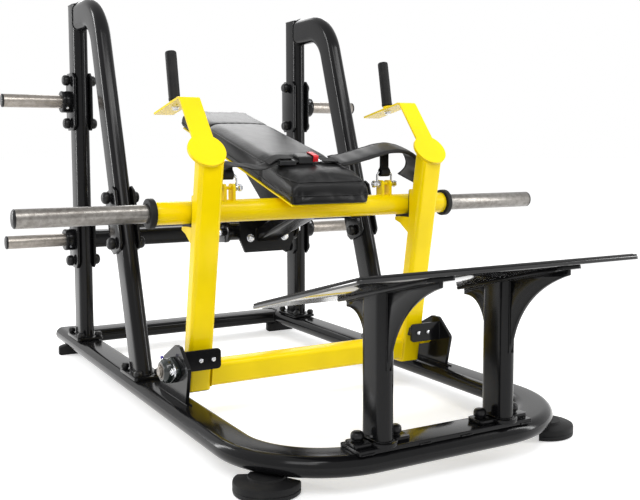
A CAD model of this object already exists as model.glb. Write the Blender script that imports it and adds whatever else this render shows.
"""Plate-loaded hip thrust bench: the finish of every surface, with its welds, bolts, padding and belt."""

import math

import bmesh
import bpy
import numpy as np
from mathutils import Matrix, Vector
from mathutils.bvhtree import BVHTree


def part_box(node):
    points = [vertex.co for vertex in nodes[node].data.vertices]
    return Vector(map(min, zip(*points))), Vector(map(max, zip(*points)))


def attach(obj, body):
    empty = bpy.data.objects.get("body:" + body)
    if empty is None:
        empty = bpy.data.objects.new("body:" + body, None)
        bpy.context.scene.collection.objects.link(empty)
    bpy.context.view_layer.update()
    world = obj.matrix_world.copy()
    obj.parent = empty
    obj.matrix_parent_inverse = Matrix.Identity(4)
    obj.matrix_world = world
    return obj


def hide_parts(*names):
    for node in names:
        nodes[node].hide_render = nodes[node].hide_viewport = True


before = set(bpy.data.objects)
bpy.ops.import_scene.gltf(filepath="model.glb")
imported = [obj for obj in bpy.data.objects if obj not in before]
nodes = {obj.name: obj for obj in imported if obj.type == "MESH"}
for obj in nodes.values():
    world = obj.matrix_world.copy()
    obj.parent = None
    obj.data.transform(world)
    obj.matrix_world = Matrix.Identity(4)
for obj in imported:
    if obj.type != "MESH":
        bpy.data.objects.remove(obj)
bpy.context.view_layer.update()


# Camera at the photograph's angle: low, in front of the machine and to its left, with the picture
# shifted a little instead of tilted, so that the posts stay upright.
def shift(x, y, z):
    """A move, as a matrix."""
    return Matrix.Translation((x, y, z))


def rotate(degrees, axis):
    """A turn about an axis, as a matrix."""
    return Matrix.Rotation(math.radians(degrees), 4, axis)


def placed(name, data):
    """A new object in the scene."""
    made = bpy.data.objects.new(name, data)
    bpy.context.scene.collection.objects.link(made)
    return made


camera_data = bpy.data.cameras.new("camera")
camera_data.sensor_width = 36
camera_data.lens = 50.66
camera_data.shift_x = -0.0033
camera_data.shift_y = -0.0438
camera = placed("camera", camera_data)
camera.matrix_world = (shift(-1.2827, -2.4321, 0.7686) @ rotate(-29.81, "Z")
                       @ rotate(90 - 4.72, "X") @ rotate(-0.11, "Z"))
bpy.context.scene.camera = camera
bpy.context.scene.view_settings.view_transform = "Standard"


# Studio: a seamless white floor that keeps the machine's soft shadow, an even white room, and tall
# soft boxes that draw the long highlights along the round edges of the tubes.
class Socket:
    """An output of a shader node that can stand in a sum."""

    def __init__(self, finish, socket):
        self.finish, self.socket = finish, socket

    def maths(self, operation, *values):
        return self.finish.node("ShaderNodeMath", {"operation": operation}, dict(enumerate(values)))

    def __add__(self, other):
        return self.maths("ADD", self, other)

    def __sub__(self, other):
        return self.maths("SUBTRACT", self, other)

    def __rsub__(self, other):
        return self.maths("SUBTRACT", other, self)

    def __mul__(self, other):
        return self.maths("MULTIPLY", self, other)

    __radd__, __rmul__ = __add__, __mul__

    def other(self, name):
        """Another output of the same node."""
        return Socket(self.finish, self.socket.node.outputs[name])

    def step(self, low, high):
        """0 below low, 1 above high and a soft ramp between."""
        return self.finish.node("ShaderNodeMapRange", {"interpolation_type": "SMOOTHSTEP"},
                                {0: self, 1: low, 2: high})


class Finish:
    """A material whose nodes are written as sums. Its settings are numbers on the shader itself."""

    def __init__(self, name, settings=None):
        self.material = bpy.data.materials.new(name)
        self.material.use_nodes = True
        self.tree = self.material.node_tree
        self.shader = self.tree.nodes["Principled BSDF"]
        self.out = self.tree.nodes["Material Output"]
        self.feed(settings or {})

    def node(self, kind, settings=None, inputs=None, output=0):
        made = self.tree.nodes.new(kind)
        for key, value in (settings or {}).items():
            setattr(made, key, value)
        for key, value in (inputs or {}).items():
            self.plug(made.inputs[key], value)
        return Socket(self, made.outputs[output])

    def plug(self, socket, value):
        if isinstance(value, Socket):
            self.tree.links.new(value.socket, socket)
        else:
            socket.default_value = (*value, 1) if socket.type == "RGBA" and len(value) == 3 else value

    def feed(self, sockets):
        for key, value in sockets.items():
            self.plug(self.shader.inputs[key], value)

    def place(self, stretch=(1, 1, 1)):
        """Where a point is on the piece, in metres, stretched along the axes if need be."""
        where = self.node("ShaderNodeTexCoord").other("Object")
        return self.node("ShaderNodeMapping", {}, {"Vector": where, "Scale": stretch})

    def noise(self, where, scale, detail=2, distortion=0.0):
        return self.node("ShaderNodeTexNoise", {}, {"Vector": where, "Scale": scale, "Detail": detail,
                                                    "Distortion": distortion})

    def mix(self, mask, first, second):
        return self.node("ShaderNodeMix", {"data_type": "RGBA"}, {0: mask, 6: first, 7: second}, 2)

    def bump(self, height, distance, strength=1.0, under=None):
        below = {} if under is None else {"Normal": under}
        return self.node("ShaderNodeBump", {}, {"Height": height, "Distance": distance,
                                                "Strength": strength, **below})


def finished(name, work, material, body, smooth=36, node=None):
    """Makes a shaped bmesh a piece that rides on a body, smooth except over its sharp edges. It stands
    for a CAD node where one is named."""
    mesh = bpy.data.meshes.new(name)
    work.to_mesh(mesh)
    work.free()
    mesh.materials.append(material)
    mesh.shade_smooth()
    mesh.set_sharp_from_angle(angle=math.radians(smooth))
    piece = placed(name, mesh)
    if body:
        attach(piece, body)
    if node:
        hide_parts(node)
    return piece


floor_paint = Finish("studio_floor", {"Base Color": (0.88, 0.88, 0.88), "Roughness": 0.9})
ray = floor_paint.node("ShaderNodeLightPath")
plain = Socket(floor_paint, floor_paint.shader.outputs[0])
glow = floor_paint.node("ShaderNodeEmission", {}, {"Color": (1, 1, 1), "Strength": 0.46})
lit = floor_paint.node("ShaderNodeAddShader", {}, {0: plain, 1: glow})
looked_at = ray.maths("MAXIMUM", ray.other("Is Camera Ray"), ray.other("Is Glossy Ray"))
floor_paint.plug(floor_paint.out.inputs["Surface"],
                 floor_paint.node("ShaderNodeMixShader", {}, {0: looked_at, 1: plain, 2: lit}))
work = bmesh.new()
bmesh.ops.create_circle(work, cap_ends=True, radius=60, segments=64)
floor = finished("studio_floor", work, floor_paint.material, None)

world = bpy.data.worlds.new("studio")
world.use_nodes = True
bpy.context.scene.world = world
room = world.node_tree
path = room.nodes.new("ShaderNodeLightPath")
level = room.nodes["Background"].inputs["Strength"]
seen = path.outputs["Is Camera Ray"]
for way in ("Is Glossy Ray", "Is Transmission Ray"):
    either = room.nodes.new("ShaderNodeMath")
    either.operation = "MAXIMUM"
    room.links.new(seen, either.inputs[0])
    room.links.new(path.outputs[way], either.inputs[1])
    seen = either.outputs[0]
lift = room.nodes.new("ShaderNodeMath")
lift.operation = "MULTIPLY_ADD"
lift.inputs[1].default_value = 0.38
lift.inputs[2].default_value = 0.62
room.links.new(seen, lift.inputs[0])
room.links.new(lift.outputs[0], level)
room.nodes["Background"].inputs["Color"].default_value = (1, 1, 1, 1)

for name, spot, aim, size, power in (("key", (-2.4, -2.4, 3.2), (0, 0, 0.5), (1.8, 1.8), 52),
                                     ("strip", (0.2, -1.9, 3.1), (0.0, -0.2, 0.6), (3.4, 0.42), 40),
                                     ("back", (0.9, 2.7, 2.4), (0, 0.2, 0.75), (2.4, 1.2), 32),
                                     ("side", (3.0, -2.0, 1.5), (0, 0, 0.6), (0.4, 2.4), 46),
                                     ("rim", (-2.6, 2.6, 1.6), (0, 0.2, 0.7), (0.4, 2.6), 56)):
    lamp = bpy.data.lights.new(name, "AREA")
    lamp.shape = "RECTANGLE"
    lamp.size, lamp.size_y = size
    lamp.energy = power
    aimed = (Vector(aim) - Vector(spot)).to_track_quat("-Z", "Y").to_matrix().to_4x4()
    placed(name, lamp).matrix_world = shift(*spot) @ aimed


# Base frame: one flat oval tube bent into a U that lies on the floor, a rear cross tube, and a long
# sole plate under the foot posts, all welded and finished in gloss black powder coat.
def powder_coat(name, colour, roughness, gloss):
    """Sprayed and baked paint: a faint orange peel and a slight cloudiness."""
    paint = Finish(name, {"Specular IOR Level": gloss})
    spot = paint.place()
    cloud = paint.noise(spot, 6, 3)
    handled = paint.noise(spot, 34, 4)
    peel = paint.noise(spot, 240, 2)
    paint.feed({"Base Color": paint.mix(cloud.step(0.3, 0.75), colour, tuple(0.90 * c for c in colour)),
                "Roughness": roughness + (cloud - 0.5) * 0.05 + (handled - 0.5) * 0.06,
                "Normal": paint.bump(peel, 0.0003, 0.10)})
    return paint.material


black = powder_coat("black_powder_coat", (0.0058, 0.0058, 0.0064), 0.16, 0.17)


def painted(name, work, node=None):
    """A part of the frame in its black paint."""
    finished(name, work, black, "frame", node=node)


def verts_of(geom):
    """The vertices among what an operator gives back."""
    return [v for v in geom if isinstance(v, bmesh.types.BMVert)]


def edges_of(geom):
    """The edges among what an operator gives back."""
    return [e for e in geom if isinstance(e, bmesh.types.BMEdge)]


def rounded_face(work, wide, tall, corner, place=Matrix.Identity(4), segments=8):
    """A flat face, wide by tall, with round corners."""
    made = bmesh.ops.create_grid(work, x_segments=1, y_segments=1, size=0.5,
                                 matrix=Matrix.Diagonal((wide, tall, 1, 1)))
    corners = bmesh.ops.bevel(work, geom=made["verts"], offset=corner, segments=segments, profile=0.5,
                              affect="VERTICES", material=-1)
    face = next(f for f in work.faces if set(f.verts) >= set(corners["verts"]))
    bmesh.ops.transform(work, matrix=place, verts=face.verts)
    return face


def run_tube(work, face, moves):
    """Carries an outline along straight runs (a vector) and bends (centre, axis, degrees), as a tube
    bender does, and closes both ends."""
    ring = list(face.edges)
    bmesh.ops.duplicate(work, geom=[face])
    work.faces.remove(face)
    for move in moves:
        if isinstance(move[0], (tuple, Vector)):
            centre, axis, degrees = move
            made = bmesh.ops.spin(work, geom=ring, cent=centre, axis=axis, angle=math.radians(degrees),
                                  steps=max(2, round(abs(degrees) / 4)))["geom_last"]
        else:
            made = bmesh.ops.extrude_edge_only(work, edges=ring)["geom"]
            bmesh.ops.translate(work, vec=move, verts=verts_of(made))
        ring = edges_of(made)
    bmesh.ops.holes_fill(work, edges=ring, sides=0)
    bmesh.ops.remove_doubles(work, verts=work.verts, dist=0.00002)
    bmesh.ops.recalc_face_normals(work, faces=work.faces)


def distances(line):
    """How far along a line of points each of them is."""
    return np.cumsum([0.0] + [(b - a).length for a, b in zip(line, line[1:])])


def points_at(line, along):
    """The points at these distances along a line of points."""
    lengths = distances(line)
    return [Vector(p) for p in zip(*(np.interp(along, lengths, [p[k] for p in line]) for k in range(3)))]


def round_wire(radius, roundness, closed=True):
    """A curve for lines that are as thick as wire, cord or thread."""
    curve = bpy.data.curves.new("wire", "CURVE")
    curve.dimensions = "3D"
    curve.bevel_depth, curve.bevel_resolution, curve.use_fill_caps = radius, roundness, closed
    return curve


def add_line(curve, points, widths=None):
    """Adds a line of points to a curve, with its share of the thickness at each point."""
    line = curve.splines.new("POLY")
    line.points.add(len(points) - 1)
    for k, point in enumerate(points):
        line.points[k].co = (*point, 1)
        line.points[k].radius = widths[k] if widths else 1.0
    return line


def made_mesh(thing):
    """The mesh that an object's curve or modifiers make. The object itself goes."""
    mesh = bpy.data.meshes.new_from_object(thing.evaluated_get(bpy.context.evaluated_depsgraph_get()))
    bpy.data.objects.remove(thing)
    return mesh


def weld(name, lines, radius, body="frame", paint=black):
    """Weld beads along lines of points: overlapping drops of metal, painted over with the piece."""
    curve = round_wire(radius, 1)
    for line in lines:
        line = [Vector(p) for p in line]
        long = distances(line)[-1]
        steps = max(3, int(long / (radius * 0.55)))
        widths = [0.78 + 0.22 * abs(math.sin(k * 0.9)) + 0.10 * math.sin(k * 0.37 + len(line))
                  for k in range(steps)]
        add_line(curve, points_at(line, np.linspace(0, long, steps)), widths)
    work = bmesh.new()
    work.from_mesh(made_mesh(placed(name + "_line", curve)))
    finished(name, work, paint, body, 80)


def outline(wide, tall, corner, place):
    """The points of a closed, round-cornered line, for a weld that runs round a tube."""
    work = bmesh.new()
    face = rounded_face(work, wide, tall, corner, place)
    points = [loop.vert.co.copy() for loop in face.loops]
    work.free()
    return points + points[:1]


RAIL, FRONT, BACK, BEND, MIDDLE = 0.432, -0.755, 1.0, 0.240, 0.065
OVAL_LONG, OVAL_SHORT, OVAL_ROUND = 0.100, 0.050, 0.0249
REAR_TUBE = 0.930
work = bmesh.new()
upright = rotate(90, "X")
side_on = rotate(90, "Z") @ upright
start = rounded_face(work, OVAL_LONG, OVAL_SHORT, OVAL_ROUND, shift(-RAIL, BACK, MIDDLE) @ upright)
run_tube(work, start, [(0, FRONT + BEND - BACK, 0), ((BEND - RAIL, FRONT + BEND, MIDDLE), (0, 0, 1), 90),
                       (2 * (RAIL - BEND), 0, 0), ((RAIL - BEND, FRONT + BEND, MIDDLE), (0, 0, 1), 90),
                       (0, BACK - FRONT - BEND, 0)])
painted("base_tube", work, "base_frame")
work = bmesh.new()
start = rounded_face(work, 0.100, 0.0495, 0.0246, shift(-0.400, REAR_TUBE, MIDDLE) @ side_on)
run_tube(work, start, [(0.800, 0, 0)])
painted("rear_tube", work)


def ease_edges(work, edges, offset, segments=2):
    """Takes the sharpness off some edges."""
    bmesh.ops.bevel(work, geom=edges, offset=offset, segments=segments, profile=0.5, affect="EDGES",
                    material=-1)


def add_mesh(work, piece, place):
    """Adds a finished shape, in its place, to another bmesh."""
    bmesh.ops.transform(piece, matrix=place, verts=piece.verts)
    mesh = bpy.data.meshes.new("added")
    piece.to_mesh(mesh)
    piece.free()
    work.from_mesh(mesh)
    bpy.data.meshes.remove(mesh)


def thicken(work, piece, face, thick, place, ease, sharp):
    """Gives a face the thickness of its plate and eases the edges that are sharper than this."""
    raised = bmesh.ops.extrude_face_region(piece, geom=[face])["geom"]
    bmesh.ops.translate(piece, vec=(0, 0, thick), verts=verts_of(raised))
    bmesh.ops.recalc_face_normals(piece, faces=piece.faces)
    ease_edges(piece, [e for e in piece.edges if e.is_manifold and e.calc_face_angle() > sharp], ease)
    add_mesh(work, piece, place)


def plate(work, wide, long, thick, corner, place, ease=0.0012, segments=8):
    """A flat plate with round corners and eased edges, lying on the place's XY plane."""
    piece = bmesh.new()
    thicken(work, piece, rounded_face(piece, wide, long, corner, segments=segments), thick, place, ease, 1.2)


work = bmesh.new()
plate(work, 0.504, 0.084, 0.0105, 0.003, shift(0, FRONT, 0.0895))
painted("sole_plate", work)
joints = [outline(0.101, 0.051, 0.0254, shift(x, REAR_TUBE, MIDDLE) @ side_on) for x in (-0.4065, 0.4065)]
for line in joints:
    for point in line:
        point.x = math.copysign(0.407 - math.sqrt(max(0, 0.0255 ** 2 - (point.z - MIDDLE) ** 2)), point.x)
for start_x in (-0.246, -0.090, 0.030, 0.215):
    for y in (-0.797, -0.713):
        joints.append([(start_x, y, 0.0910), (start_x + 0.034, y, 0.0912)])
weld("base_welds", joints, 0.0028)


# Rubber feet and tube ends: moulded half-moon feet under the front bends and the rails' rear ends,
# which lift the frame off the floor, and flush plugs in the open ends of the rails.
def turned(work, profile, place, steps=48):
    """A profile of (radius, height) points turned about the place's Z."""
    piece = bmesh.new()
    line = [piece.verts.new((radius, 0, height)) for radius, height in profile]
    edges = [piece.edges.new(pair) for pair in zip(line, line[1:])]
    bmesh.ops.spin(piece, geom=line + edges, cent=(0, 0, 0), axis=(0, 0, 1), angle=math.tau, steps=steps,
                   use_merge=True)
    bmesh.ops.remove_doubles(piece, verts=piece.verts, dist=0.000005)
    bmesh.ops.recalc_face_normals(piece, faces=piece.faces)
    add_mesh(work, piece, place)


def everything(work):
    """All that a bmesh holds, for an operator that takes it whole."""
    return work.verts[:] + work.edges[:] + work.faces[:]


def saw_off(work, point, way):
    """Takes away what lies beyond a plane, and closes the cut."""
    cut = bmesh.ops.bisect_plane(work, geom=everything(work), plane_co=point, plane_no=way, clear_outer=True)
    bmesh.ops.holes_fill(work, edges=edges_of(cut["geom_cut"]), sides=0)


def merged(node):
    """A copy of a CAD node's mesh, its loose triangles joined."""
    work = bmesh.new()
    work.from_mesh(nodes[node].data)
    bmesh.ops.remove_doubles(work, verts=work.verts, dist=0.00002)
    return work


def dress(node, body, material, ease):
    """A smooth copy of a CAD node with eased edges, in this material."""
    work = merged(node)
    bmesh.ops.dissolve_limit(work, angle_limit=math.radians(0.6), verts=work.verts, edges=work.edges)
    piece = finished(node + "_finished", work, material, body, 36, node)
    soft = piece.modifiers.new("eased edges", "BEVEL")
    soft.width, soft.segments, soft.limit_method, soft.angle_limit = ease, 2, "ANGLE", math.radians(36)
    soft.use_clamp_overlap = True
    flat = piece.modifiers.new("flat faces stay flat", "WEIGHTED_NORMAL")
    flat.keep_sharp = True
    return piece


SIDES = ((-1, "left"), (1, "right"))
rubber_mix = Finish("black_rubber", {"Specular IOR Level": 0.16})
spot = rubber_mix.place()
grain = rubber_mix.noise(spot, 1500, 2)
dust = rubber_mix.noise(spot, 24, 4)
rubber_mix.feed({"Base Color": rubber_mix.mix(dust.step(0.45, 0.75), (0.0095, 0.0095, 0.0100),
                                              (0.0160, 0.0158, 0.0155)),
                 "Roughness": 0.55 + (dust - 0.5) * 0.2, "Normal": rubber_mix.bump(grain, 0.0002, 0.5)})
rubber = rubber_mix.material
for side, word in SIDES:
    outwards = Vector((side, -1, 0)).normalized()
    for name, spot, radius, way in (("front", (side * 0.415, -0.667), 0.078, outwards),
                                    ("rear", (side * RAIL, 0.920), 0.060, Vector((0, 1, 0)))):
        shape = [(0, 0), (radius - 0.006, 0), (radius - 0.001, 0.003), (radius, 0.008), (radius, 0.012),
                 (radius - 0.0015, 0.0135), (radius, 0.015), (radius, 0.025), (radius - 0.001, 0.0285),
                 (radius - 0.004, 0.0302), (radius - 0.030, 0.0335), (radius - 0.034, 0.0350),
                 (radius - 0.035, 0.0397), (0, 0.0397)]
        work = bmesh.new()
        turned(work, shape, shift(*spot, 0), 64)
        saw_off(work, Vector((*spot, 0)) - way * radius * 0.12, -way)
        bmesh.ops.recalc_face_normals(work, faces=work.faces)
        finished(f"rubber_foot_{name}_{word}", work, rubber, "frame", 30,
                 node=f"foot_{name}_{word}")
    dress("rail_end_cap_" + word, "frame", rubber, 0.0014)


# Side frames: an upright post and a leaning leg a side, both of the same flat oval tube, welded to
# foot plates that bolt to the rails under black plastic bolt caps. The leg bends over into the post.
CAP = [(0.0140, 0), (0.0140, 0.0022), (0.0176, 0.0040), (0.0188, 0.0065), (0.0190, 0.0135), (0.0182, 0.0182),
       (0.0158, 0.0222), (0.0118, 0.0248), (0.0062, 0.0259), (0, 0.0262)]


def bolt_cap(work, place, radius=0.019, height=0.026):
    """A moulded plastic cap snapped over a bolt head."""
    turned(work, [(r * radius / 0.019, h * height / 0.026) for r, h in CAP], place, 40)


plastic_mix = Finish("black_plastic", {"Specular IOR Level": 0.24})
spot = plastic_mix.place()
grain = plastic_mix.noise(spot, 900, 2)
cloud = plastic_mix.noise(spot, 40, 3)
plastic_mix.feed({"Base Color": plastic_mix.mix(cloud.step(0.4, 0.7), (0.0075, 0.0075, 0.0082),
                                                (0.0115, 0.0115, 0.0120)),
                  "Roughness": 0.33 + (cloud - 0.5) * 0.14, "Normal": plastic_mix.bump(grain, 0.0002, 0.3)})
plastic = plastic_mix.material


def moulded(name, work, body, node=None):
    """A black plastic cap or plug."""
    finished(name, work, plastic, body, 50, node)



LEG_SLOPE, PLATE_TOP, LEG_FOOT, POST = 0.345, 0.1003, 0.145, 0.775
FOOT_PLATE, TUBE_START, LEG_BEND_Y, LEG_BEND_Z = (0.090, 0.150, 0.010, 0.010), 0.07, 0.4964, 1.1189
leaning = Matrix.Rotation(-math.atan(LEG_SLOPE), 4, "X")


def leg_y(z):
    """Middle of the leaning leg at this height."""
    return LEG_FOOT + LEG_SLOPE * (z - PLATE_TOP)


for side, word in SIDES:
    x = side * RAIL
    work = bmesh.new()
    run_tube(work, rounded_face(work, OVAL_SHORT, OVAL_LONG, OVAL_ROUND, shift(x, POST, TUBE_START)),
             [(0, 0, 1.194)])
    plate(work, *FOOT_PLATE, shift(x, POST, PLATE_TOP - 0.010))
    painted("post_" + word, work, "rear_post_" + word)
    work = bmesh.new()
    start = shift(x, leg_y(TUBE_START), TUBE_START) @ leaning
    first = Vector((0, LEG_BEND_Y - leg_y(TUBE_START), LEG_BEND_Z - TUBE_START))
    run_tube(work, rounded_face(work, OVAL_SHORT, OVAL_LONG, OVAL_ROUND, start),
             [first, ((x, 0.6382, 1.0700), (-1, 0, 0), 70.97), (0, 0.105, 0)])
    plate(work, *FOOT_PLATE, shift(x, LEG_FOOT, PLATE_TOP - 0.010))
    painted("leg_" + word, work, "front_leg_" + word)
    work = bmesh.new()
    plate(work, 0.0515, 0.1015, 0.0035, 0.0256, shift(x, POST, 1.2635), 0.0014)
    for y in (POST, LEG_FOOT):
        for dx, dy in ((-0.031, -0.061), (0.031, -0.061), (-0.031, 0.061), (0.031, 0.061)):
            bolt_cap(work, shift(x + dx, y + dy, PLATE_TOP), 0.0125, 0.018)
    moulded("post_plugs_and_caps_" + word, work, "frame")
    cope = outline(0.051, 0.101, 0.0252, shift(x, 0, 1.220) @ upright)
    for point in cope:
        point.y = 0.750 - math.sqrt(max(0.0, 0.0258 ** 2 - (point.x - x) ** 2))
    lines = [outline(0.0515, 0.1015, 0.0256, shift(x, POST, PLATE_TOP + 0.0008)),
             outline(0.0515, 0.1075, 0.0256, shift(x, leg_y(PLATE_TOP), PLATE_TOP + 0.0008)), cope]
    weld("side_frame_welds_" + word, lines, 0.0027)


# Storage horns: plain steel pegs for spare plates, held in turned collars on clamp plates that grip
# each post with two through bolts. A set screw in each collar locks the peg.
zinc_mix = Finish("zinc_plate", {"Metallic": 1.0})
spot = zinc_mix.place()
cloud = zinc_mix.noise(spot, 130, 3)
zinc_mix.feed({"Base Color": zinc_mix.mix(cloud.step(0.35, 0.7), (0.74, 0.75, 0.77), (0.56, 0.57, 0.60)),
               "Roughness": 0.24 + (cloud - 0.5) * 0.12})
zinc = zinc_mix.material


def plated(name, work, body):
    """Bolts, nuts and screws in zinc plate."""
    finished(name, work, zinc, body, 30)


def scuffed_steel(name, pale, dark, along):
    """Drawn steel that plates slide over: dark mill scale showing through, and rubbed streaks along it."""
    bare = Finish(name, {"Metallic": 1.0})
    spot = bare.place()
    scale = bare.noise(spot, 70, 5, 0.6).step(0.32, 0.70)
    long_marks = bare.noise(bare.place(along), 26, 3)
    pits = bare.noise(spot, 420, 3)
    mask = scale * 0.45 + long_marks.step(0.35, 0.7) * 0.35 + pits.step(0.4, 0.7) * 0.2
    bare.feed({"Base Color": bare.mix(mask, pale, dark), "Roughness": 0.29 + mask * 0.08,
               "Normal": bare.bump(pits, 0.0004, 0.15)})
    return bare.material


horn_steel = scuffed_steel("horn_steel", (0.31, 0.285, 0.258), (0.165, 0.147, 0.128), (0.18, 1, 1))
sleeve_steel = scuffed_steel("sleeve_steel", (0.262, 0.250, 0.234), (0.100, 0.090, 0.080), (0.18, 1, 1))


def outward(side):
    """Turns a shape drawn on XY to stand on a side face and look out along X."""
    face_x = Matrix(((0, 0, 1, 0), (1, 0, 0, 0), (0, 1, 0, 0), (0, 0, 0, 1)))
    return Matrix.Rotation(0 if side > 0 else math.pi, 4, "Z") @ face_x


OUTER_FACE, INNER_FACE, CLAMP_THICK = 0.4573, 0.4067, 0.008


def clamp(plates, caps, y, z, side, way, spacing, turn=Matrix.Identity(4)):
    """A clamp plate on a tube's outer (way 1) or inner (way -1) side, with its two bolt caps."""
    at = shift(side * (OUTER_FACE if way > 0 else INNER_FACE), y, z) @ turn @ outward(side * way)
    plate(plates, 0.104, 0.200, CLAMP_THICK, 0.018, at, 0.0014, 1)
    for rise in (-spacing / 2, spacing / 2):
        bolt_cap(caps, at @ shift(0, rise, CLAMP_THICK))
    return at @ shift(0, 0, CLAMP_THICK)


def rod(work, radius, long, place, steps=48, blunt=None):
    """A round bar or washer along the place's Z, its far edge blunted by this much across and along."""
    edge = [(radius, long - blunt[1]), (radius - blunt[0], long)] if blunt else [(radius, long)]
    turned(work, [(0, 0), (radius, 0)] + edge + [(0, long)], place, steps)


HORN_LOW, HORN_HIGH, POST_BOLTS, LEG_BOLTS = 0.445, 0.930, 0.150, 0.146
HORN, HORN_LONG, HORN_COLLAR = 0.0225, 0.2260, 0.0380
LEG_CLAMP = 0.545
for side, word in SIDES:
    caps, screws = bmesh.new(), bmesh.new()
    for level, z in (("lower", HORN_LOW), ("upper", HORN_HIGH)):
        work = bmesh.new()
        face = clamp(work, caps, POST, z, side, 1, POST_BOLTS)
        turned(work, [(0.0226, -0.001), (0.0365, -0.001), (HORN_COLLAR, 0.0012), (HORN_COLLAR, 0.0285),
                      (0.0372, 0.0312), (0.0350, 0.0330), (0.0240, 0.0330), (0.0227, 0.0318),
                      (0.0226, -0.001)], face)
        painted(f"horn_collar_{level}_{word}", work, f"horn_socket_{level}_{word}")
        work = bmesh.new()
        rod(work, HORN, HORN_LONG, face, blunt=(0.0010, 0.0015))
        finished(f"horn_{level}_{word}", work, horn_steel, "frame",
                 node=f"storage_horn_{level}_{word}")
        turned(caps, [(0, 0.2258), (0.0228, 0.2258), (0.0230, 0.2285), (0.0222, 0.2312), (0.0195, 0.2326),
                      (0, 0.2330)], face)
        screw = shift(side * 0.4823, POST, z) @ rotate(-35 * side, "X") @ shift(0, -HORN_COLLAR, 0) @ upright
        turned(screws, [(0.0017, 0.0017), (0.0028, 0.0017), (0.0042, 0.0017), (0.0044, 0.0010),
                        (0.0044, -0.003)], screw, 24)
    work = bmesh.new()
    clamp(work, caps, POST, HORN_HIGH, side, -1, POST_BOLTS)
    painted("post_clamp_plate_" + word, work, "post_clamp_" + word)
    work = bmesh.new()
    clamp(work, caps, leg_y(LEG_CLAMP), LEG_CLAMP, side, 1, LEG_BOLTS, leaning)
    painted("leg_clamp_plate_" + word, work, "leg_clamp_" + word)
    moulded("clamp_caps_" + word, caps, "frame")
    plated("horn_set_screws_" + word, screws, "frame")


# Cross beams: a flat oval tube between the legs and a box tube between the posts, each welded to
# inner clamp plates. The main beam carries the two cheeks and the pin that the seat hinges on.
def cut_plate(work, points, thick, place, ease=0.0012):
    """A plate flame-cut to an outline, its edges eased."""
    piece = bmesh.new()
    face = piece.faces.new([piece.verts.new((x, y, 0)) for x, y in points])
    thicken(work, piece, face, thick, place, ease, 0.9)


face_out = outward(1)
beams, caps = bmesh.new(), bmesh.new()
BEAM_END = 0.3995
run_tube(beams, rounded_face(beams, 0.080, 0.060, 0.015, shift(-BEAM_END, POST, HORN_LOW) @ side_on),
         [(2 * BEAM_END, 0, 0)])
for side in (-1, 1):
    clamp(beams, caps, POST, HORN_LOW, side, -1, POST_BOLTS)
painted("rear_beam", beams, "rear_cross_beam")
BEAM_Y, BEAM_Z, UNDER = 0.300, 0.545, 0.521
HINGE_Y, HINGE_Z, HINGE_PIN = 0.215, 0.500, 0.0125
beams = bmesh.new()
start = rounded_face(beams, OVAL_LONG, OVAL_SHORT, OVAL_ROUND, shift(-BEAM_END, BEAM_Y, BEAM_Z) @ side_on)
run_tube(beams, start, [(2 * BEAM_END, 0, 0)])
for side in (-1, 1):
    clamp(beams, caps, leg_y(BEAM_Z), BEAM_Z, side, -1, LEG_BOLTS, leaning)
plate(beams, 0.280, 0.075, 0.0090, 0.006, shift(0, BEAM_Y + 0.012, UNDER - 0.009))
cheek = [(BEAM_Y + 0.045, UNDER - 0.0045), (BEAM_Y + 0.045, UNDER - 0.0403), (BEAM_Y, UNDER - 0.062)]
cheek += [(HINGE_Y + 0.034 * math.cos(a), HINGE_Z + 0.034 * math.sin(a))
          for a in np.radians(range(-80, -322, -8))]
cheek += [(0.251, UNDER - 0.0059)]
for x in (-0.122, 0.122):
    cut_plate(beams, cheek, 0.010, shift(x - 0.005, 0, 0) @ face_out)
for side in (-1, 1):
    rod(beams, HINGE_PIN, 0.0125, shift(side * 0.1262, HINGE_Y, HINGE_Z) @ outward(side),
        blunt=(0.0013, 0.0010))
rod(beams, HINGE_PIN, 0.252, shift(-0.126, HINGE_Y, HINGE_Z) @ face_out)
painted("main_beam", beams, "main_cross_beam")
moulded("beam_caps", caps, "frame")
lines = []
for side in (-1, 1):
    lines.append(outline(0.101, 0.051, 0.0254, shift(side * (BEAM_END - 0.001), BEAM_Y, BEAM_Z) @ side_on))
    lines.append(outline(0.081, 0.061, 0.0155, shift(side * (BEAM_END - 0.001), POST, HORN_LOW) @ side_on))
    for x in (0.1165, 0.1275):
        lines.append([(side * x, BEAM_Y - 0.020, UNDER - 0.010), (side * x, BEAM_Y + 0.043, UNDER - 0.010)])
lines.append([(-0.138, BEAM_Y - 0.0245, UNDER - 0.001), (0.138, BEAM_Y - 0.0245, UNDER - 0.001)])
weld("beam_welds", lines, 0.0027)


# Footplate: a flat steel sheet with a ribbed rubber mat, carried by two flat oval posts with
# hollow-edged gussets, which bolt down on the front of the base frame.
gloss_sheet = Finish("gloss_black_sheet", {"Specular IOR Level": 0.4, "Coat Roughness": 0.04})
spot = gloss_sheet.place()
cloud = gloss_sheet.noise(spot, 5, 3)
gloss_sheet.feed({"Base Color": gloss_sheet.mix(cloud.step(0.3, 0.7), (0.0065, 0.0065, 0.0070),
                                                (0.0090, 0.0090, 0.0095)),
                  "Roughness": 0.12 + (cloud - 0.5) * 0.06, "Coat Weight": 0.35 + (cloud - 0.5) * 0.2,
                  "Normal": gloss_sheet.bump(gloss_sheet.noise(spot, 240, 2), 0.0002, 0.1)})
TILT, SHEET_Y, SHEET_Z, GUSSET_TOP = -0.251354, -0.7635, 0.4575, 0.4395
SHEET_WIDE, SHEET_LONG, SHEET_THICK, MAT_THICK = 0.766, 0.4945, 0.008, 0.0044
RIB_STEP, RIBS = 0.0126, 38
foot_turn = shift(0, SHEET_Y, SHEET_Z) @ Matrix.Rotation(TILT, 4, "X")


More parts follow.
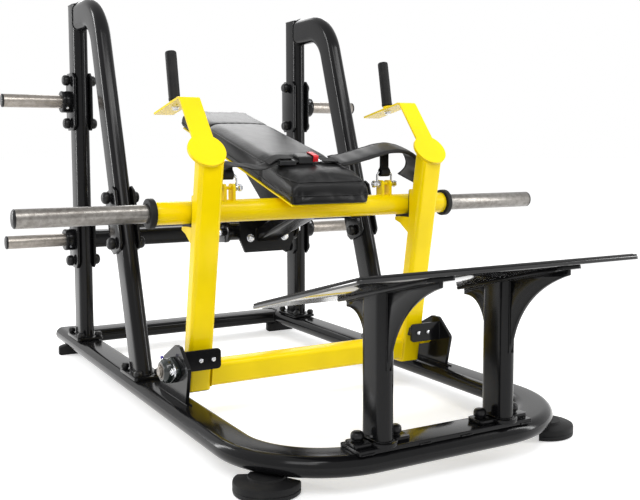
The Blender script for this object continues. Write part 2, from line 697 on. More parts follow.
def under_footplate(y, below):
    """World height of a plane this far under the footplate's top."""
    return SHEET_Z + (y - SHEET_Y) * math.tan(TILT) - below / math.cos(TILT)


work = bmesh.new()
plate(work, SHEET_WIDE, SHEET_LONG, SHEET_THICK, 0.012, foot_turn @ shift(0, 0, -SHEET_THICK), 0.0016)
finished("footplate_sheet", work, gloss_sheet.material, "frame", node="footplate")
work = bmesh.new()
plate(work, SHEET_WIDE - 0.003, SHEET_LONG - 0.003, MAT_THICK, 0.011, foot_turn, 0.0012)
for k in range(RIBS):
    rib = bmesh.new()
    bmesh.ops.create_cube(rib, size=1, matrix=shift(0, RIB_STEP * (k - (RIBS - 1) / 2), 0.0050)
                          @ Matrix.Diagonal((0.748, 0.0062, 0.0032, 1)))
    ease_edges(rib, [e for e in rib.edges if all(v.co.z > 0.005 for v in e.verts)], 0.0012, 1)
    add_mesh(work, rib, foot_turn)
finished("footplate_mat", work, rubber, "frame", 30)

FOOT_X = 0.177
for side, word in SIDES:
    x = side * FOOT_X
    work, caps = bmesh.new(), bmesh.new()
    run_tube(work, rounded_face(work, 0.045, 0.090, 0.0224, shift(x, FRONT, 0.102)), [(0, 0, 0.40)])
    slope = foot_turn.to_3x3() @ Vector((0, 0, 1))
    saw_off(work, (0, FRONT, under_footplate(FRONT, 0.012)), slope)
    gusset_lines = []
    for way, reach, drop in ((-1, 0.232, 0.170), (1, 0.130, 0.150)):
        face, tip = FRONT + way * 0.044, FRONT + way * reach
        top_face, top_tip = under_footplate(face, 0.0153), under_footplate(tip, 0.0153)
        start, end = Vector((tip, top_tip - 0.014)), Vector((face, GUSSET_TOP - drop))
        bend = Vector((face + (tip - face) * 0.10, top_face - 0.028))
        curve = [start * (1 - t) ** 2 + bend * (2 * t * (1 - t)) + end * t ** 2
                 for t in np.linspace(0, 1, 25)]
        cut_plate(work, [(face, top_face), (tip, top_tip)] + [tuple(p) for p in curve], 0.010,
                  shift(x - 0.005, 0, 0) @ face_out)
        for dx in (-0.0058, 0.0058):
            gusset_lines.append([(x + dx, FRONT + way * 0.0455, GUSSET_TOP - drop + 0.004),
                                 (x + dx, FRONT + way * 0.0455, top_face - 0.004)])
            gusset_lines.append([(x + dx, face, top_face - 0.001),
                                 (x + dx, tip - way * 0.004, top_tip - 0.001)])
    plate(work, 0.070, 0.376, 0.0082, 0.010, foot_turn @ shift(x, -0.0449, -0.0163))
    plate(work, 0.067, 0.112, 0.010, 0.0334, shift(x, FRONT, PLATE_TOP))
    plate(work, 0.150, 0.054, 0.010, 0.010, shift(x, FRONT, PLATE_TOP))
    for dx in (-0.051, 0.051):
        bolt_cap(caps, shift(x + dx, FRONT + 0.006, 0.1103), 0.016, 0.022)
    painted("footplate_post_" + word, work, "foot_post_" + word)
    moulded("footplate_caps_" + word, caps, "frame")
    gusset_lines.append(outline(0.0465, 0.0915, 0.0231, shift(x, FRONT, 0.1110)))
    weld("footplate_welds_" + word, gusset_lines, 0.0024)


# Arm brackets: flame-cut cheeks welded on the rails, each with a stop tab whose rubber bumper
# catches the arm, and a two-bolt cast bearing that carries the arm's pivot shaft.
PIVOT_Y, PIVOT_Z, ARM = -0.132, 0.165, 0.357
cast_mix = Finish("cast_bearing", {"Specular IOR Level": 0.35, "Coat Roughness": 0.08})
spot = cast_mix.place()
sand = cast_mix.noise(spot, 260, 4)
cloud = cast_mix.noise(spot, 30, 3)
cast_mix.feed({"Base Color": cast_mix.mix(cloud.step(0.35, 0.7), (0.0085, 0.0125, 0.0118),
                                          (0.0135, 0.0190, 0.0175)),
               "Roughness": 0.22 + (sand - 0.5) * 0.16, "Coat Weight": 0.4 + (cloud - 0.5) * 0.2,
               "Normal": cast_mix.bump(sand, 0.0006, 0.35)})
cap_mix = Finish("blue_cap", {"Roughness": 0.4})
cap_mix.feed({"Base Color": cap_mix.mix(cap_mix.noise(cap_mix.place(), 300, 2), (0.055, 0.035, 0.30),
                                        (0.075, 0.05, 0.36))})


def hexagon(work, place, across, thick):
    """A hexagon head or nut, chamfered at its face."""
    piece = bmesh.new()
    corner = across / math.sqrt(3)
    bmesh.ops.create_cone(piece, cap_ends=True, segments=6, radius1=corner, radius2=corner, depth=thick,
                          matrix=shift(0, 0, thick / 2))
    ease_edges(piece, [e for e in piece.edges if all(v.co.z > thick * 0.9 for v in e.verts)], 0.0008)
    add_mesh(work, piece, place)


for side, word in SIDES:
    dress("arm_bracket_" + word, "frame", black, 0.0010)
    dress("stop_bumper_" + word, "frame", rubber, 0.0016)
    low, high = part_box("arm_bracket_" + word)
    lines = [[(side * x, y, 0.0915) for y in (low[1] + 0.004, high[1] - 0.003)] for x in (0.4242, 0.4358)]
    lines += [[(side * 0.4240, y, 0.172), (side * 0.4240, y, 0.220)] for y in (-0.1928, -0.1832)]
    weld("bracket_welds_" + word, lines, 0.0024)
    work = bmesh.new()
    for bolt_x in (0.342, 0.378):
        at = shift(side * bolt_x, -0.192, 0.196) @ upright
        turned(work, [(0, 0.0056), (0.0042, 0.0056), (0.0056, 0.0049), (0.0061, 0.0036), (0.0061, 0)], at, 28)
    cast = bmesh.new()
    at = shift(side * 0.4353, PIVOT_Y, PIVOT_Z) @ rotate(-7, "X") @ outward(side)
    rim = [(0.0495 + 0.0142 * math.cos(a), 0.0142 * math.sin(a)) for a in np.radians(range(-62, 63, 12))]
    rim += [(0.0355 * math.cos(a), 0.0355 * math.sin(a)) for a in np.radians(range(62, 120, 7))]
    rim += [(-y, -z) for y, z in rim]
    cut_plate(cast, rim, 0.0132, at, 0.0020)
    turned(cast, [(0.0128, 0.004), (0.0333, 0.004), (0.0340, 0.0150), (0.0334, 0.0225), (0.0312, 0.0275),
                  (0.0285, 0.0300), (0.0272, 0.0322), (0.0262, 0.0340), (0.0232, 0.0344), (0.0226, 0.0330),
                  (0.0128, 0.0330)], at, 64)
    turned(cast, [(0, 0.010), (0.0050, 0.010), (0.0044, 0.0205), (0, 0.0205)],
           at @ shift(side * 0.0143, 0.0235, 0.0030), 24)
    finished("bearing_housing_" + word, cast, cast_mix.material, "frame", 30,
             node="flange_bearing_" + word)
    for ear in (-0.0495, 0.0495):
        on_ear = at @ shift(ear, 0, 0.0130)
        rod(work, 0.0125, 0.0018, on_ear, 32, (0.0007, 0.0004))
        hexagon(work, on_ear @ shift(0, 0, 0.0018), 0.0165, 0.0070)
        rod(work, 0.0048, 0.0036, on_ear @ shift(0, 0, 0.0088), 24, (0.0006, 0.0006))
    nipple = Matrix.Translation(at @ Vector((side * 0.0143, 0.0250, 0.0220))) @ rotate(-38, "X")
    turned(work, [(0, -0.004), (0.0034, -0.004), (0.0034, 0.0050), (0.0021, 0.0060), (0.0021, 0.0095),
                  (0.0028, 0.0110), (0.0020, 0.0128), (0, 0.0130)], nipple, 24)
    plated("bearing_bolts_" + word, work, "frame")
    work = bmesh.new()
    turned(work, [(0.0036, 0.0078), (0.0042, 0.0090), (0.0042, 0.0125), (0.0034, 0.0148), (0, 0.0155)],
           nipple, 24)
    finished("nipple_cap_" + word, work, cap_mix.material, "frame", 60)
    work = bmesh.new()
    turned(work, [(0.0215, 0.0325), (0.0215, 0.0345), (0.0190, 0.0350), (0.0186, 0.0342), (0.0186, 0.0325)],
           at, 48)
    turned(work, [(0.01257, 0.0300), (0.0165, 0.0300), (0.0165, 0.0385), (0.0158, 0.0392), (0.0130, 0.0392),
                  (0.01257, 0.0386)], at, 48)
    finished("bearing_race_" + word, work, horn_steel, "frame", 30)
    work = bmesh.new()
    turned(work, [(0.0163, 0.0335), (0.0174, 0.0342), (0.0180, 0.0342), (0.0188, 0.0335)], at, 48)
    finished("bearing_seal_" + word, work, rubber, "frame", 60)


# Rack arms: a yellow powder-coated frame of two leaning box tubes and a low cross tube, with a lined
# cradle on each arm. Slanted caps end in a bent strip that carries a rubber grip.
yellow = powder_coat("yellow_powder_coat", (0.93, 0.69, 0.0010), 0.22, 0.22)
ARM_SLOPE = 0.181


def arm_y(z):
    """Middle of the leaning arm at this height."""
    return -0.105 - ARM_SLOPE * (z - 0.100)


dress("rack_frame", "rack_arms", yellow, 0.0010)
lines = []
for side, word in SIDES:
    dress("arm_cap_" + word, "rack_arms", yellow, 0.0010)
    dress("cradle_liner_" + word, "rack_arms", rubber, 0.0010)
    lean = Matrix.Rotation(math.atan(ARM_SLOPE), 4, "X") @ outward(1)
    lines.append(outline(0.051, 0.071, 0.0125, shift(side * 0.3215, arm_y(0.140), 0.140) @ lean))
    inside = 0.0252 * math.sqrt(1 + ARM_SLOPE ** 2)
    for dx in (-0.0285, 0.0285):
        lines.append([(side * ARM + dx, arm_y(z) + inside, z) for z in (0.508, 0.550, 0.600, 0.638)])
    lines.append([(side * ARM + dx, arm_y(0.504) + inside, 0.504) for dx in (-0.0265, 0.0265)])
    cap_y = arm_y(0.7171)
    for dx in (-0.0355, 0.0355):
        lines.append([(side * ARM + dx, cap_y + dy, 0.7169 + (cap_y + dy + 0.2463) * 0.7699 / 0.6382)
                      for dy in (-0.018, 0.018)])
    grip_place = (shift(side * 0.363, 0.0148, 0.9012)
                  @ Vector((0, 0.1887, 0.9820)).to_track_quat("Z", "Y").to_matrix().to_4x4())
    work = bmesh.new()
    profile = [(0, 0.0003), (0.0150, 0.0003), (0.0165, 0.0014), (0.0172, 0.0040), (0.0172, 0.0075),
               (0.0165, 0.0095)]
    for k in range(42):
        h = 0.0110 + 0.0029 * k
        profile += [(0.01640, h), (0.01655, h + 0.0006), (0.01655, h + 0.0016), (0.01640, h + 0.0022)]
    profile += [(0.0165, 0.1365), (0.0162, 0.1405), (0.0150, 0.1435), (0.0120, 0.1450), (0.0040, 0.1455),
                (0, 0.1455)]
    turned(work, profile, grip_place, 40)
    finished("rubber_grip_" + word, work, rubber, "rack_arms", 60, node="grip_" + word)
    work = bmesh.new()
    under = grip_place @ shift(0, 0, -0.0180) @ Matrix.Rotation(math.pi, 4, "X")
    rod(work, 0.0115, 0.0012, under, 32)
    hexagon(work, under @ shift(0, 0, 0.0010), 0.0150, 0.0068)
    plated("grip_bolt_" + word, work, "rack_arms")
    lines.append([grip_place @ Vector((0.0142 * math.cos(a), 0.0142 * math.sin(a), -0.0116))
                  for a in np.linspace(0, math.tau, 33)])
    work = bmesh.new()
    end = shift(side * ARM, arm_y(0.0945), 0.0945)
    plate(work, 0.066, 0.047, 0.0035, 0.011, end @ shift(0, 0, -0.0022), 0.0010)
    moulded("arm_plug_" + word, work, "rack_arms")
    work = bmesh.new()
    turned(work, [(0.01255, -0.0030), (0.01255, 0.0002), (0.0112, 0.0014), (0.0034, 0.0014),
                  (0.0022, 0.0006), (0, 0.0004)],
           shift(side * 0.4762, PIVOT_Y, PIVOT_Z) @ outward(side), 40)
    finished("shaft_end_" + word, work, horn_steel, "rack_arms", 40)
weld("rack_welds", lines, 0.0020, "rack_arms", yellow)


# Load bar: a yellow tube across the front of the seat, with a rubber collar and a bare steel sleeve
# at each end for the weight plates, and two pairs of lugs for the belt's shackles.
BAR_Y, BAR_Z, BAR_SKIN, LUG = -0.120, 0.593, 0.0322, 0.262
PIN_Z = BAR_Z + 0.064
SLEEVE_START, SLEEVE, SLEEVE_LONG = 0.4793, 0.025, 0.3587
dress("load_bar", "carriage", yellow, 0.0007)
lines, work = [], bmesh.new()
for side, word in SIDES:
    for dx in (-0.0135, 0.0135):
        for way in (-0.0048, 0.0048):
            x = side * LUG + dx + way
            lines.append([(x, BAR_Y + y, BAR_Z + math.sqrt(BAR_SKIN ** 2 - y * y))
                          for y in np.linspace(-0.0165, 0.0165, 9)])
    for way in (-1, 1):
        at = shift(side * LUG + way * 0.0330, BAR_Y, PIN_Z) @ outward(way)
        rod(work, 0.0098, 0.0013, at @ shift(0, 0, -0.0145), 28)
        hexagon(work, at @ shift(0, 0, -0.0126), 0.0150, 0.0105)
        hexagon(work, at @ shift(0, 0, 0.0006), 0.0188, 0.0084)
        rod(work, 0.0046, 0.0030, at @ shift(0, 0, 0.0088), 24, (0.0006, 0.0006))
plated("anchor_bolts", work, "carriage")
weld("lug_welds", lines, 0.0016, "carriage", yellow)

for side, word in SIDES:
    at = shift(side * SLEEVE_START, BAR_Y, BAR_Z) @ outward(side)
    work = bmesh.new()
    turned(work, [(0.0253, 0), (0.0395, 0), (0.0408, 0.0012), (0.0410, 0.0030), (0.0410, 0.0150),
                  (0.0405, 0.0168), (0.0392, 0.0180), (0.0270, 0.0180), (0.0256, 0.0172), (0.0253, 0.0160),
                  (0.0253, 0)], at, 64)
    finished("rubber_collar_" + word, work, rubber, "carriage", 50,
             node="sleeve_collar_" + word)
    work = bmesh.new()
    rod(work, SLEEVE, SLEEVE_LONG, at, 64, (0.0010, 0.0017))
    finished("plate_sleeve_" + word, work, sleeve_steel, "carriage", node="sleeve_" + word)
    work = bmesh.new()
    turned(work, [(0, 0.3590), (0.0249, 0.3590), (0.0250, 0.3604), (0.0240, 0.3622), (0.0205, 0.3648),
                  (0.0140, 0.3662), (0.006, 0.3668), (0, 0.3669)], at, 48)
    moulded("sleeve_plug_" + word, work, "carriage", "sleeve_end_cap_" + word)


# Seat carriage: a box spine from the bar back to the hinge, with a bolted flange, two gussets and a
# bent yellow plate that carries the cushion.
dress("carriage_spine", "carriage", black, 0.0010)
work = bmesh.new()
for x in (-0.061, 0.061):
    at = shift(x, 0.1608, 0.482) @ upright
    rod(work, 0.0128, 0.0014, at, 32)
    hexagon(work, at @ shift(0, 0, 0.0014), 0.0182, 0.0082)
    rod(work, 0.0055, 0.0018, at @ shift(0, 0, 0.0094), 24, (0.0007, 0.0006))
for side in (-1, 1):
    hexagon(work, shift(side * 0.1385, HINGE_Y, HINGE_Z) @ outward(side), 0.0180, 0.0060)
plated("seat_bolts", work, "carriage")
lines = []
for side in (-1, 1):
    lines.append([(side * 0.0492, BAR_Y + BAR_SKIN * math.cos(a), BAR_Z + BAR_SKIN * math.sin(a))
                  for a in np.linspace(-0.5, 0.9, 12)])
lines.append(outline(0.0455, 0.0815, 0.0105, shift(0, 0.1605, 0.4925) @ upright @ rotate(90, "Z")))
weld("spine_welds", lines, 0.0022, "carriage")


# Cushion: foam on the bent plate under black grained vinyl. A top panel with one cross seam is sewn
# to a side band with corded welts, and the belt has pressed a crease across it. The front hangs low.
vinyl = Finish("black_vinyl", {"Specular IOR Level": 0.20})
spot = vinyl.place()
cells = vinyl.node("ShaderNodeTexVoronoi", {"feature": "F1"},
                   {"Vector": spot, "Scale": 620, "Randomness": 0.9})
creases = vinyl.noise(spot, 210, 4, 0.5)
cloud = vinyl.noise(spot, 9, 3)
vinyl.feed({"Base Color": vinyl.mix(cloud.step(0.3, 0.75), (0.0068, 0.0068, 0.0072),
                                    (0.0090, 0.0089, 0.0093)),
            "Roughness": 0.36 + (cloud - 0.5) * 0.10 + (creases - 0.5) * 0.10,
            "Normal": vinyl.bump(cells, 0.0005, 0.25, vinyl.bump(creases, 0.0008, 0.12))})

PLATE_BEND, PLATE_TURN = Vector((0, -0.140, 0.6390)), 0.1058
ALONG, UP = Vector((0, 0.9622, 0.2722)), Vector((0, -0.2722, 0.9622))
SEAM, CREASE = 0.5404, 0.104


def on_cushion(point):
    """How far along the plate from its bend, and how high over it, a point of the cushion is."""
    from_bend = point - PLATE_BEND
    along = from_bend.dot(ALONG)
    return along, from_bend.dot(UP) - PLATE_TURN * max(0.0, -along)


def front_drop(point):
    """How far the seat's front end hangs under the plate's straight front part at a point."""
    forward = min(max((-0.012 - on_cushion(point)[0]) / 0.095, 0.0), 1.0)
    return 0.011 * forward * forward * (3 - 2 * forward)


def soften(work):
    """Evens a surface out a little."""
    bmesh.ops.smooth_vert(work, verts=work.verts, factor=0.5, use_axis_x=True, use_axis_y=True,
                          use_axis_z=True)


def near(along, middle, wide):
    """1 on a line across the cushion, falling to 0 beside it."""
    return math.exp(-((along - middle) / wide) ** 2)


work = merged("pad")
work.normal_update()
for vert in work.verts:
    if on_cushion(vert.co)[1] > 0.004:
        vert.co -= vert.normal * 0.0030
mesh = bpy.data.meshes.new("cushion_start")
work.to_mesh(mesh)
work.free()
blank = placed("cushion_blank", mesh)
voxels = blank.modifiers.new("even mesh", "REMESH")
voxels.mode, voxels.voxel_size = "VOXEL", 0.006
bpy.context.view_layer.update()
even = made_mesh(blank)
start = [v.co.copy() for v in even.vertices]
swelling = placed("cushion_swelling", even)
held = swelling.vertex_groups.new(name="held")
held.add([k for k, p in enumerate(start) if on_cushion(p)[1] < 0.006], 1.0, "REPLACE")
skin = swelling.modifiers.new("foam pressure", "CLOTH")
skin.settings.quality = 5
skin.settings.mass = 0.3
skin.settings.tension_stiffness = skin.settings.compression_stiffness = 18
skin.settings.bending_stiffness = 1.2
skin.settings.use_pressure = True
skin.settings.uniform_pressure_force = 4
skin.settings.vertex_group_mass = "held"
skin.settings.effector_weights.gravity = 0
skin.collision_settings.use_collision = False
skin.collision_settings.use_self_collision = False
for step in range(1, 21):
    bpy.context.scene.frame_set(step)
swollen = made_mesh(swelling)
bpy.context.scene.frame_set(1)
for vert, was in zip(swollen.vertices, start):
    moved = vert.co - was
    if moved.length > 0.006:
        vert.co = was + moved * (0.006 / moved.length)
even = swollen

work = bmesh.new()
work.from_mesh(even)
soften(work)
bmesh.ops.subdivide_edges(work, edges=work.edges, cuts=1, smooth=0.6, use_grid_fill=True)
soften(work)
work.normal_update()
for vert in work.verts:
    along, high = on_cushion(vert.co)
    if high < 0.003:
        continue
    seam = 0.0030 * near(along, SEAM, 0.0026) + 0.0010 * near(along, SEAM, 0.012)
    crease = 0.0050 * near(along, CREASE, 0.009)
    puckers = 0.0005 * math.sin(vert.co.x * 240) * near(along, SEAM, 0.010)
    puckers += 0.0010 * math.sin(vert.co.x * 95 + 2 * math.sin(along * 60)) * near(along, CREASE, 0.022)
    wrinkles = 0.00012 * math.sin(along * 70 + 3 * math.sin(vert.co.x * 21)) * math.sin(vert.co.x * 33 + 1.0)
    vert.co += vert.normal * (puckers + wrinkles - seam - crease)
for vert in work.verts:
    vert.co.z -= front_drop(vert.co)
cushion = finished("cushion", work, vinyl.material, "carriage", 80)
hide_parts("pad")
seat_plate = dress("pad_plate", "carriage", yellow, 0.0010)
for vert in seat_plate.data.vertices:
    vert.co.z -= front_drop(vert.co)


def thread(name, lines, gap, long, radius):
    """Rows of sewn stitches: short round lengths of thread along each line of points."""
    curve = round_wire(radius, 0)
    for line in lines:
        for first in np.arange(0, distances(line)[-1] - long, gap):
            add_line(curve, points_at(line, (first, first + long / 2, first + long)), (0.6, 1.0, 0.6))
    from_curve(name, curve, thread_mix.material, "carriage")


def from_curve(name, curve, material, body, smooth=80):
    """A curve made a mesh piece."""
    work = bmesh.new()
    work.from_mesh(made_mesh(placed(name + "_line", curve)))
    bmesh.ops.remove_doubles(work, verts=work.verts, dist=0.00001)
    bmesh.ops.recalc_face_normals(work, faces=work.faces)
    return finished(name, work, material, body, smooth)


thread_mix = Finish("black_thread", {"Roughness": 0.7})
fibres = thread_mix.noise(thread_mix.place(), 900)
thread_mix.feed({"Base Color": thread_mix.mix(fibres, (0.030, 0.030, 0.032), (0.050, 0.050, 0.052))})
cushion_tree = BVHTree.FromObject(cushion, bpy.context.evaluated_depsgraph_get())


def on_skin(along, across, lift):
    """A point of the cushion's top at this place along and across it, lifted a little."""
    above = PLATE_BEND + ALONG * along + UP * 0.2 + Vector((across, 0, 0))
    hit = cushion_tree.ray_cast(above, -UP)
    return hit[0] + hit[1] * lift if hit[0] else above


rows = [[on_skin(SEAM + way * 0.0052, x, 0.0001) for x in np.linspace(-0.122, 0.122, 60)] for way in (-1, 1)]
thread("seam_stitches", rows, 0.0046, 0.0032, 0.00038)


def welt_line(level):
    """A closed line round the cushion's side at this share of its thickness, found by rays from outside."""
    path = []
    corner, half, rear, front = 0.030, 0.150, 0.765, -0.122
    corners = ((half - corner, rear - corner, 0), (corner - half, rear - corner, 90),
               (corner - half, front + corner, 180), (half - corner, front + corner, 270))
    for cx, cs, first in corners:
        for turn in range(0, 91, 6):
            a = math.radians(first + turn)
            path.append((cx + corner * math.cos(a), cs + corner * math.sin(a), math.cos(a), math.sin(a)))
    points = []
    for k, (x, s, nx, ns) in enumerate(path):
        after = path[(k + 1) % len(path)]
        gaps = max(1, int(math.hypot(after[0] - x, after[1] - s) / 0.008))
        for j in range(gaps):
            t = j / gaps
            at = [a * (1 - t) + b * t for a, b in zip((x, s, nx, ns), after)]
            depth = float(np.interp(at[1], (-0.12, -0.05, 0.1, 0.3, 0.75),
                                    (0.062, 0.073, 0.079, 0.073, 0.060)))
            tilt = PLATE_TURN * max(0.0, -at[1])
            base = PLATE_BEND + ALONG * at[1] + UP * (depth * level + tilt)
            way = (Vector((at[2], 0, 0)) + ALONG * at[3]).normalized()
            hit = cushion_tree.ray_cast(base + Vector((at[0], 0, 0)) + way * 0.05, -way, 0.12)
            if hit[0]:
                points.append(hit[0] + hit[1] * 0.0003)
    return points


curve = round_wire(0.0021, 2, False)
for level in (0.74, 0.20):
    add_line(curve, welt_line(level)).use_cyclic_u = True
from_curve("cushion_welts", curve, vinyl.material, "carriage")


# Lap belt: woven webbing that loops through a steel shackle at each end, with a plastic length
# adjuster, a press-button buckle and, on the right, a wide padded sleeve with bound edges.
webbing_mix = Finish("webbing", {"Roughness": 0.7, "Specular IOR Level": 0.3})
flat_place = webbing_mix.node("ShaderNodeTexCoord").other("UV")
split = webbing_mix.node("ShaderNodeSeparateXYZ", {}, {0: flat_place})
rib = (split.other("Y") * (math.tau / 0.0028)).maths("SINE")
pick = (split.other("X") * (math.tau / 0.0019) + rib * 1.4).maths("SINE")
weave = rib * 0.5 + pick * 0.5
fuzz = webbing_mix.noise(webbing_mix.place(), 500, 3)
webbing_mix.feed({"Base Color": webbing_mix.mix((weave * 0.5 + 0.5).maths("MULTIPLY", fuzz),
                                                (0.0060, 0.0060, 0.0064), (0.0140, 0.0139, 0.0142)),
                  "Roughness": 0.62 + fuzz * 0.2, "Normal": webbing_mix.bump(weave, 0.0005, 0.6)})
webbing = webbing_mix.material


def smooth_line(points, step=0.003):
    """A soft curve through points, sampled evenly."""
    curve = bpy.data.curves.new("line", "CURVE")
    curve.dimensions = "3D"
    curve.resolution_u = 12
    spline = curve.splines.new("BEZIER")
    spline.bezier_points.add(len(points) - 1)
    for target, point in zip(spline.bezier_points, points):
        target.co = point
        target.handle_left_type = target.handle_right_type = "AUTO"
    shape = placed("line", curve)
    bpy.context.view_layer.update()
    found = [v.co.copy() for v in shape.to_mesh().vertices]
    shape.to_mesh_clear()
    bpy.data.objects.remove(shape)
    long = distances(found)[-1]
    return points_at(found, np.linspace(0, long, max(4, int(long / step))))


def laid(work, line, across):
    """Bends a flat shape, drawn with its length on X from 0 to 1 and its width on Y, along a line."""
    count = len(line) - 1
    for vert in work.verts:
        at = min(max(vert.co.x, 0.0), 1.0) * count
        k = min(int(at), count - 1)
        ways = [(line[min(j + 1, count)] - line[max(j - 1, 0)]).normalized() for j in (k, k + 1)]
        way = ways[0].lerp(ways[1], at - k).normalized()
        up = way.cross(across).normalized()
        vert.co = line[k].lerp(line[k + 1], at - k) + across * vert.co.y + up * vert.co.z


def woven_grid(line, wide, rows):
    """A flat grid with a row of faces for each step of a line, its UV map in metres for the weave."""
    work = bmesh.new()
    uv = work.loops.layers.uv.new("weave")
    long = distances(line)[-1]
    bmesh.ops.create_grid(work, x_segments=len(line) - 1, y_segments=rows, size=0.5)
    for face in work.faces:
        for loop in face.loops:
            loop[uv].uv = ((loop.vert.co.x + 0.5) * long, loop.vert.co.y * wide)
    return work


def strap(name, line, across, wide, thick, shape=None, rows=10):
    """A length of webbing along a line. shape gives its height over the line from its place along and
    across."""
    work = woven_grid(line, wide, rows)
    for vert in work.verts:
        along, side = vert.co.x + 0.5, vert.co.y * 2
        vert.co = Vector((along, vert.co.y * wide, shape(along, side) if shape else 0.0))
    laid(work, line, across)
    bmesh.ops.recalc_face_normals(work, faces=work.faces)
    piece = finished(name, work, webbing, "carriage", 60)
    wall = piece.modifiers.new("webbing thickness", "SOLIDIFY")
    wall.thickness, wall.offset = thick, 0
    return piece


BELT_Y = -0.130
across = Vector((0, math.cos(math.radians(16)), math.sin(math.radians(16))))


def belt_points(points):
    return [Vector((x, BELT_Y, z)) for x, z in points]


left_line = smooth_line(belt_points([(-0.286, 0.712), (-0.268, 0.7225), (-0.240, 0.7215), (-0.205, 0.7170),
                                     (-0.165, 0.7130), (-0.143, 0.7195), (-0.122, 0.7300), (-0.105, 0.7312),
                                     (-0.062, 0.7312), (-0.0535, 0.7365)]))
left_belt = strap("belt_webbing_left", left_line, across, 0.046, 0.0024,
                  shape=lambda u, v: (0.0012 * math.sin(u * 19) * v
                                      + 0.0008 * math.sin(u * 31 + 2 * v) * (1 - v * v)))
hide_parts("belt_left")
tail_line = smooth_line(belt_points([(-0.070, 0.7420), (-0.092, 0.7428), (-0.117, 0.7405), (-0.131, 0.7345),
                                     (-0.147, 0.7262)]))
strap("belt_tail", tail_line, across, 0.040, 0.0020, shape=lambda u, v: 0.0008 * math.sin(u * 9 + v))
right_line = smooth_line(belt_points([(0.0315, 0.7330), (0.050, 0.7335), (0.070, 0.7325), (0.096, 0.7320),
                                      (0.125, 0.7375)]))
strap("belt_webbing_right", right_line, across, 0.038, 0.0024)
for side, word, top in ((-1, "left", 0.7235), (1, "right", 0.7600)):
    middle, y = 0.693, BAR_Y
    loop = [(y - 0.0014, top), (y - 0.0014, middle + 0.0150)]
    loop += [(y + 0.0112 * math.sin(a), middle - 0.0122 * math.cos(a))
             for a in np.radians(range(-150, 151, 15))]
    loop += [(y + 0.0014, middle + 0.0150), (y + 0.0014, top)]
    strap("anchor_loop_" + word, [Vector((side * LUG, a, b)) for a, b in loop], Vector((1, 0, 0)), 0.030,
          0.0022, rows=6)
    low, high = middle + 0.0155, top - 0.003
    frame_of = [Vector((side * LUG + x, y - 0.0028, z)) for x, z in (
        (-0.0125, low), (0.0125, low), (0.0125, high), (-0.0125, high), (-0.0125, low), (0.0125, high))]
    thread("loop_stitches_" + word, [frame_of], 0.0034, 0.0024, 0.0004)

satin_mix = Finish("belt_pad_fabric", {"Specular IOR Level": 0.35})
spot = satin_mix.node("ShaderNodeTexCoord").other("UV")
split = satin_mix.node("ShaderNodeSeparateXYZ", {}, {0: spot})
twill = ((split.other("X") + split.other("Y")) * (math.tau / 0.0013)).maths("SINE")
cloud = satin_mix.noise(satin_mix.place(), 30, 3)
satin_mix.feed({"Base Color": satin_mix.mix(cloud.step(0.3, 0.7), (0.016, 0.016, 0.017),
                                            (0.024, 0.024, 0.025)),
                "Roughness": 0.46 + (cloud - 0.5) * 0.15, "Normal": satin_mix.bump(twill, 0.0003, 0.4)})
pad_line = smooth_line(belt_points([(0.080, 0.7300), (0.108, 0.7330), (0.150, 0.7420), (0.205, 0.7555),
                                    (0.262, 0.7672), (0.305, 0.7655), (0.342, 0.7520), (0.364, 0.7270),
                                    (0.366, 0.7020), (0.350, 0.6820), (0.336, 0.6740)]), 0.004)
PAD_WIDE, PAD_THICK = 0.092, 0.0150


def pad_height(u, v):
    """Half the padded sleeve's thickness at a place along and across it."""
    ends = min(1.0, min(u, 1 - u) / 0.035)
    puff = 0.92 + 0.08 * math.cos(u * 46)
    closing = 0.30 + 0.70 * math.sin(ends * math.pi / 2)
    return PAD_THICK / 2 * puff * closing * max(0.0, 1 - abs(v) ** 3.2) ** 0.55


work = woven_grid(pad_line, PAD_WIDE, 24)
lower = set(verts_of(bmesh.ops.duplicate(work, geom=everything(work))["geom"]))
for vert in work.verts:
    u, v = vert.co.x + 0.5, vert.co.y * 2
    vert.co = Vector((u, vert.co.y * PAD_WIDE, pad_height(u, v) * (-1 if vert in lower else 1)))
laid(work, pad_line, across)
bmesh.ops.remove_doubles(work, verts=work.verts, dist=0.00005)
bmesh.ops.holes_fill(work, edges=[e for e in work.edges if e.is_boundary], sides=0)
bmesh.ops.recalc_face_normals(work, faces=work.faces)
sleeve_pad = finished("belt_pad", work, satin_mix.material, "carriage", 80)
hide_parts("belt_right")
for edge, word in ((-1, "front"), (1, "back")):
    work = woven_grid(pad_line, 0.024, 12)
    for vert in work.verts:
        u, a = vert.co.x + 0.5, vert.co.y * 2
        t = PAD_WIDE / 2 + 0.0010 - 0.0105 * a * a
        lift = pad_height(u, min(1.0, t / (PAD_WIDE / 2))) + 0.0007 * min(1.0, abs(a) * 4)
        vert.co = Vector((u, edge * t, math.copysign(lift, a)))
    laid(work, pad_line, across)
    bmesh.ops.recalc_face_normals(work, faces=work.faces)
    tape = finished("belt_pad_binding_" + word, work, webbing, "carriage", 80)
    wall = tape.modifiers.new("tape thickness", "SOLIDIFY")
    wall.thickness, wall.offset = 0.0008, 0
rows = []
for edge in (-1, 1):
    for top in (-1, 1):
        work = bmesh.new()
        row = [work.verts.new((u, edge * (PAD_WIDE / 2 - 0.0075), top * (pad_height(u, 0.84) + 0.0012)))
               for u in np.linspace(0.01, 0.99, 90)]
        laid(work, pad_line, across)
        rows.append([v.co.copy() for v in row])
        work.free()
thread("belt_pad_stitches", rows, 0.0042, 0.0029, 0.00035)

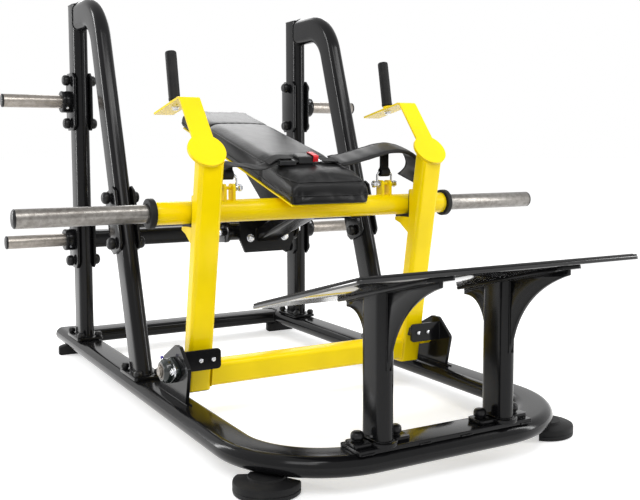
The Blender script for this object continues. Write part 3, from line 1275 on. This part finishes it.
dress("belt_adjuster", "carriage", plastic, 0.0012)
dress("belt_buckle", "carriage", plastic, 0.0016)
red_mix = Finish("red_plastic", {"Specular IOR Level": 0.5})
shade = red_mix.noise(red_mix.place(), 120, 2)
red_mix.feed({"Base Color": red_mix.mix(shade, (0.70, 0.012, 0.020), (0.60, 0.010, 0.016)),
              "Roughness": 0.26 + shade * 0.1})
low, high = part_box("belt_buckle")
buckle_middle = (Vector(low) + Vector(high)) / 2
work = bmesh.new()
face = rounded_face(work, 0.0456, 0.0260, 0.0050, shift(0, 0.0020, 0.0350), 5)
sides = bmesh.ops.extrude_face_region(work, geom=[face])["geom"]
bmesh.ops.translate(work, vec=(0, 0, -0.0165), verts=verts_of(sides))
bmesh.ops.delete(work, geom=[f for f in sides if isinstance(f, bmesh.types.BMFace)], context="FACES_ONLY")
bmesh.ops.bisect_plane(work, geom=everything(work), plane_co=(0, -0.0035, 0), plane_no=(0, -1, 0),
                       clear_outer=True)
bmesh.ops.recalc_face_normals(work, faces=work.faces)
if max(work.faces, key=lambda f: f.calc_center_median().z).normal.z < 0:
    bmesh.ops.reverse_faces(work, faces=work.faces)
on_buckle = Matrix(((0, 0, 1, 0), (across.y, -across.z, 0, 0), (across.z, across.y, 0, 0), (0, 0, 0, 1)))
bmesh.ops.transform(work, matrix=Matrix.Translation(buckle_middle) @ on_buckle, verts=work.verts)
press_cap = finished("buckle_press_cap", work, red_mix.material, "buckle_button", 40)
wall = press_cap.modifiers.new("moulded wall", "SOLIDIFY")
wall.thickness, wall.offset = 0.0022, -1
edge = press_cap.modifiers.new("soft rim", "BEVEL")
edge.width, edge.segments, edge.limit_method, edge.angle_limit = 0.0007, 2, "ANGLE", math.radians(40)
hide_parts("buckle_button")
dress("belt_tongue", "carriage", zinc, 0.0004)

for side, word in SIDES:
    top, half, corner = BAR_Z + 0.100, 0.0255, 0.010
    bow = [(-half, PIN_Z + 0.007), (-half, top - corner)]
    bow += [(-half + corner - corner * math.cos(a), top - corner + corner * math.sin(a))
            for a in np.radians(range(10, 91, 10))]
    bow += [(half - corner + corner * math.sin(a), top - corner + corner * math.cos(a))
            for a in np.radians(range(0, 91, 10))]
    bow += [(half, PIN_Z + 0.007)]
    curve = round_wire(0.0035, 4)
    add_line(curve, [(side * LUG + dx, BAR_Y, z) for dx, z in bow])
    piece = from_curve("shackle_bow_" + word, curve, zinc, "shackle_" + word, 50)
    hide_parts("shackle_" + word)
    work = bmesh.new()
    for way in (-1, 1):
        at = shift(side * LUG + way * half - 0.003, BAR_Y, PIN_Z) @ outward(1)
        turned(work, [(0.0052, 0.0003), (0.0058, 0), (0.0088, 0), (0.0095, 0.0008), (0.0095, 0.0052),
                      (0.0088, 0.006), (0.0058, 0.006), (0.0052, 0.0057), (0.0052, 0.0003)], at, 32)
    finished("shackle_eyes_" + word, work, zinc, "shackle_" + word, 40)
